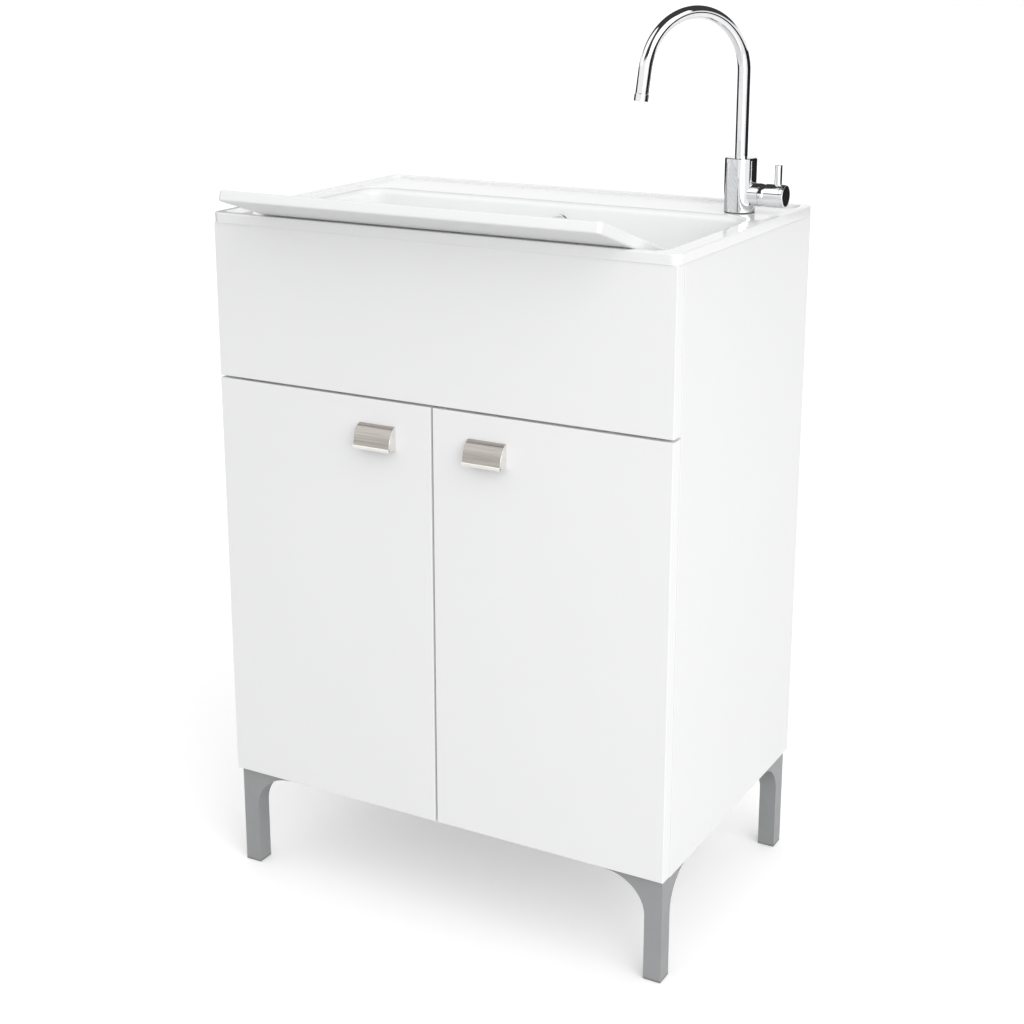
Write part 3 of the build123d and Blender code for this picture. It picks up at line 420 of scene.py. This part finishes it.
# Hardware and plumbing inside
zinc = {
    **metalGrain(90),
    "light": (0.66, 0.67, 0.69),
    "shade": (0.52, 0.53, 0.56),
    "roughness": (0.29, 0.42),
}
brass = {
    **metalGrain(60),
    "light": (0.72, 0.58, 0.33),
    "shade": (0.58, 0.46, 0.26),
    "roughness": (0.29, 0.38),
}
moulded = {  # what the small moulded pieces share
    "IOR": 1.5,
    "tintGrain": (15, 3),
    "glossGrain": (90, 4),
    "reliefGrain": (700, 2),
    "reliefHeight": 0.000015,
}
pipe = {
    **moulded,
    "light": (0.87, 0.87, 0.865),
    "shade": (0.83, 0.83, 0.825),
    "roughness": (0.29, 0.36),
}
blackNut = {
    **moulded,
    "light": (0.07, 0.07, 0.075),
    "shade": (0.045, 0.045, 0.05),
    "roughness": (0.4, 0.55),
}
buffer = {
    **moulded,
    "light": (0.80, 0.81, 0.80),
    "shade": (0.74, 0.75, 0.74),
    "roughness": (0.30, 0.45),
}
seal = {
    **rubber,
    "light": (0.05, 0.05, 0.05),
    "shade": (0.03, 0.03, 0.03),
    "roughness": (0.65, 0.85),
}
plug = {
    **rubber,
    "light": (0.09, 0.09, 0.095),
    "shade": (0.06, 0.06, 0.065),
    "roughness": (0.5, 0.7),
}
fittings = ["fascia_brackets", "deck_brackets", "hinge_plates", "small_screws", "leg_screws"]
fittings += bothSides("hinge_cups", "hinge_links", "hinge_arms", "hinge_cup_screws", "pull_screws")
overflowPieces = ["overflow_elbow", "overflow_pipe"]
wastePieces = ["waste_body", "trap_nut", "trap_body", "trap_cup", "trap_outlet"]

dress(grainyFinish("zincSteel", zinc), *fittings)
dress(grainyFinish("shankBrass", brass), "tap_shank", "tap_washer")
dress(grainyFinish("pipePlastic", pipe), *overflowPieces, *wastePieces)
dress(grainyFinish("blackNut", blackNut), "tap_locknut")
dress(grainyFinish("bufferPlastic", buffer), "door_buffers")
dress(grainyFinish("sealRubber", seal), "tap_gasket", "waste_gasket")
dress(grainyFinish("plugRubber", plug), "drain_plug")
print("hardware and plumbing finished")

# Floor, sky, screens and lamps
floorPaper = {
    "size": 60.0,
    "colour": (0.50, 0.50, 0.50),
    "glow": 0.16,
    "Roughness": 0.9,
    "IOR": 1.3,
    "Specular IOR Level": 0.0,
    "Emission Color": white,
}
sky = {
    "strength": 0.81,
    "ceilingStart": 0.26,  # sine of the height at which mirrors begin to see the dark ceiling
    "ceilingEnd": 0.34,
    "ceilingDark": 0.05,
    "boxFacing": (-0.62, -0.50, 0.60),  # direction of the soft box that mirrors see
    "boxEdge": 0.88,
    "boxSoftness": 0.02,
    "boxBright": 1.3,
}
screenCloth = {
    "Base Color": (0.03, 0.03, 0.032, 1),
    "Roughness": 1.0,
    "Specular IOR Level": 0.0,
}
screens = [  # dark screens seen only in reflections: middle, width, height, turn in degrees
    ((1.785, 1.422, 0.85), 3.7, 0.70, -50.8),
    ((-1.727, 0.536, 0.85), 2.1, 0.70, 79.2),
    ((-1.057, 3.412, 0.62), 4.0, 0.76, 21.7),
]
keyLight = {"strength": 1.1, "angle": 60, "from": (1.7, -1.0, 1.1)}
sideLight = {"power": 4.5, "size": 0.8, "place": (1.3, -1.3, 0.8), "target": (0.1, -0.1, 0.5)}
panelCorners = ((-1, -1), (1, -1), (1, 1), (-1, 1))


def larger(tree, first, second):
    either = tree.nodes.new("ShaderNodeMath")
    either.operation = "MAXIMUM"
    joined(tree, first, either.inputs[0])
    joined(tree, second, either.inputs[1])
    return either.outputs[0]


def rayKinds(tree):
    # one for rays from the camera and for clear rays, and one for mirrored rays
    path = tree.nodes.new("ShaderNodeLightPath")
    direct = larger(tree, path.outputs["Is Camera Ray"], path.outputs["Is Transmission Ray"])
    return direct, path.outputs["Is Glossy Ray"]


def blended(tree, factor, first, second):
    # plain values or sockets mixed by a factor
    mix = tree.nodes.new("ShaderNodeMix")
    joined(tree, factor, mix.inputs["Factor"])
    for socket, value in (("A", first), ("B", second)):
        if isinstance(value, (int, float)):
            mix.inputs[socket].default_value = value
        else:
            joined(tree, value, mix.inputs[socket])
    return mix.outputs["Result"]


def flatPanel(name, corners, finish):
    mesh = bpy.data.meshes.new(name)
    mesh.from_pydata(corners, [], [(0, 1, 2, 3)])
    mesh.materials.append(finish)
    return newObject(name, mesh)


def makeFloor():
    # white to the camera and to mirrors, greyer in the light it throws back
    finish, tree, shader = newFinish("floorPaper", floorPaper)
    direct, mirrored = rayKinds(tree)
    mix = tree.nodes.new("ShaderNodeMix")
    mix.data_type = "RGBA"
    mix.inputs["A"].default_value = (*floorPaper["colour"], 1)
    mix.inputs["B"].default_value = white
    joined(tree, larger(tree, direct, mirrored), mix.inputs["Factor"])
    joined(tree, mix.outputs["Result"], shader.inputs["Base Color"])
    glow = blended(tree, direct, 0.0, floorPaper["glow"])
    joined(tree, glow, shader.inputs["Emission Strength"])
    half = floorPaper["size"] / 2
    floor = flatPanel("studioFloor", [(x * half, y * half, 0) for x, y in panelCorners], finish)


def makeSky():
    # white to the camera, plain to diffuse rays, dark ceiling with a soft box to mirrors
    world = bpy.data.worlds.new("studioSky")
    bpy.context.scene.world = world
    world.use_nodes = True
    tree = world.node_tree
    background = tree.nodes["Background"]
    background.inputs["Color"].default_value = white
    place = tree.nodes.new("ShaderNodeTexCoord")
    parts = tree.nodes.new("ShaderNodeSeparateXYZ")
    joined(tree, place.outputs["Generated"], parts.inputs[0])
    heights = (sky["ceilingStart"], sky["ceilingEnd"])
    ceiling = spread(tree, parts.outputs["Z"], 1.0, sky["ceilingDark"], *heights)
    towards = tree.nodes.new("ShaderNodeVectorMath")
    towards.operation = "DOT_PRODUCT"
    towards.inputs[1].default_value = Vector(sky["boxFacing"]).normalized()
    joined(tree, place.outputs["Generated"], towards.inputs[0])
    edges = (sky["boxEdge"], sky["boxEdge"] + sky["boxSoftness"])
    box = spread(tree, towards.outputs["Value"], 0.0, sky["boxBright"], *edges)
    direct, mirrored = rayKinds(tree)
    plain = blended(tree, mirrored, sky["strength"], larger(tree, ceiling, box))
    joined(tree, blended(tree, direct, plain, 1.0), background.inputs["Strength"])


def makeScreens():
    finish = newFinish("screenCloth", screenCloth)[0]
    for middle, width, height, turn in screens:
        corners = [(x * width / 2, 0, z * height / 2) for x, z in panelCorners]
        screen = flatPanel("darkScreen", corners, finish)
        screen.location = middle
        screen.rotation_euler = (0, 0, math.radians(turn))
        screen.visible_camera = False
        screen.visible_diffuse = False
        screen.visible_shadow = False
        screen.visible_transmission = False


def aim(lamp, towards):
    lamp.rotation_euler = towards.to_track_quat("-Z", "Y").to_euler()


def makeKeyLight():
    light = bpy.data.lights.new("keyLight", "SUN")
    light.energy = keyLight["strength"]
    light.angle = math.radians(keyLight["angle"])
    aim(newObject("keyLight", light), -Vector(keyLight["from"]))


def makeSideLight():
    # a soft panel on the right makes the front fall off a little to the left
    light = bpy.data.lights.new("sideLight", "AREA")
    light.energy = sideLight["power"]
    light.size = sideLight["size"]
    lamp = newObject("sideLight", light)
    lamp.location = sideLight["place"]
    aim(lamp, Vector(sideLight["target"]) - Vector(sideLight["place"]))


makeFloor()
makeSky()
makeScreens()
makeKeyLight()
makeSideLight()
print("studio ready")

# Camera
camera = {
    "place": (1.0119, -1.7937, 1.1600),
    "yaw": 29.080,
    "pitch": 15.050,
    "lens": 61.755,
    "rise": -0.0977,
    "near": 0.05,
    "far": 100,
}


def makeCamera():
    data = bpy.data.cameras.new("photoCamera")
    data.lens = camera["lens"]
    data.shift_y = camera["rise"]
    data.clip_start = camera["near"]
    data.clip_end = camera["far"]
    body = newObject("photoCamera", data)
    body.location = camera["place"]
    body.rotation_euler = (math.radians(90 - camera["pitch"]), 0, math.radians(camera["yaw"]))
    bpy.context.scene.camera = body


makeCamera()
bpy.context.scene.view_settings.view_transform = "Standard"
print("camera ready")
